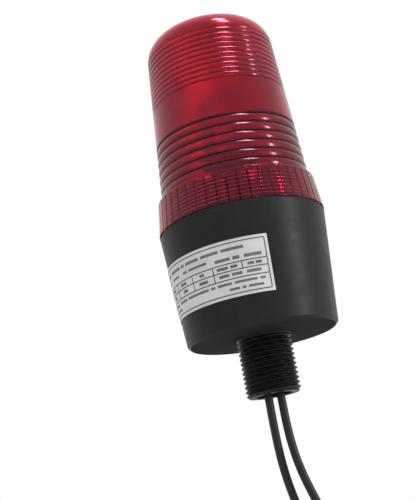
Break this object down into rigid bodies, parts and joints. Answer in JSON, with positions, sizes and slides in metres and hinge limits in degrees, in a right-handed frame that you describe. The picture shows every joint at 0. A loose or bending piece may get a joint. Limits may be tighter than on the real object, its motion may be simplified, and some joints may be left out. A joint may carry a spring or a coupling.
{
  "type": "strobe beacon",
  "caption": "Round flashing warning beacon with a ribbed red screw-on lens, a tapered dark housing, a threaded mounting stem and two wire leads.",
  "frame": {"origin": "on the beacon's axis, where the threaded stem leaves the flat seat under the housing", "axes": "+Z along the axis towards the top of the lens; -Y is the side the picture looks at, +X its right"},
  "size_m": [0.0668, 0.0668, 0.319],
  "materials": {
    "housing_plastic": "satin moulded dark grey",
    "stem_plastic": "satin black",
    "red_lens": "clear red moulded",
    "black_rubber": "matt",
    "label_foil": "satin silver foil with dark rules",
    "board_laminate": "green solder mask",
    "white_plastic": "satin",
    "white_ceramic": "matt",
    "clear_glass": "clear",
    "tin_plate": "tinned",
    "zinc_steel": "zinc plated",
    "copper_wire": "bright wire",
    "blue_sleeve": "shrunk sleeve",
    "red_epoxy": "dipped epoxy",
    "black_epoxy": "moulded epoxy",
    "coil_varnish": "varnished winding",
    "green_plastic": "moulded",
    "lead_insulation": "soft black insulation",
    "tinned_copper": "tinned strands"
  },
  "bodies": {
    "base": {"housing": "housing_plastic", "threaded_stem": "stem_plastic", "stem_nut": "zinc_steel", "stem_plug": "black_rubber", "rating_label": "label_foil", "circuit_board": "board_laminate", "board_screws": "zinc_steel", "tube_tower": "white_plastic", "tower_screws": "zinc_steel", "tube_socket": "white_ceramic", "flash_tube": "clear_glass", "tube_caps": "tin_plate", "trigger_wire": "copper_wire", "storage_capacitor": "blue_sleeve", "film_capacitor": "red_epoxy", "power_resistor": "white_ceramic", "fuse": "clear_glass", "fuse_clips": "tin_plate", "rectifier_diodes": "black_epoxy", "switch_transistor": "black_epoxy", "trigger_coil": "coil_varnish", "terminal_block": "green_plastic", "inner_leads": "lead_insulation", "lead_1": "lead_insulation", "lead_2": "lead_insulation", "stripped_ends": "tinned_copper"},
    "seal": {"lens_seal": "black_rubber"},
    "lens": {"lens": "red_lens"}
  },
  "joints": [
    {"name": "lens_rise", "type": "slide", "parent": "base", "child": "seal", "axis": [0, 0, 1], "range_m": [0, 0.0105]},
    {"name": "lens_turn", "type": "hinge", "parent": "seal", "child": "lens", "pos_m": [0, 0, 0.046], "axis": [0, 0, 1], "range_deg": [0, 2520]}
  ],
  "couplings": [
    {"joint": "lens_rise", "follows": "lens_turn", "m_per_rad": 0.00023873}
  ]
}
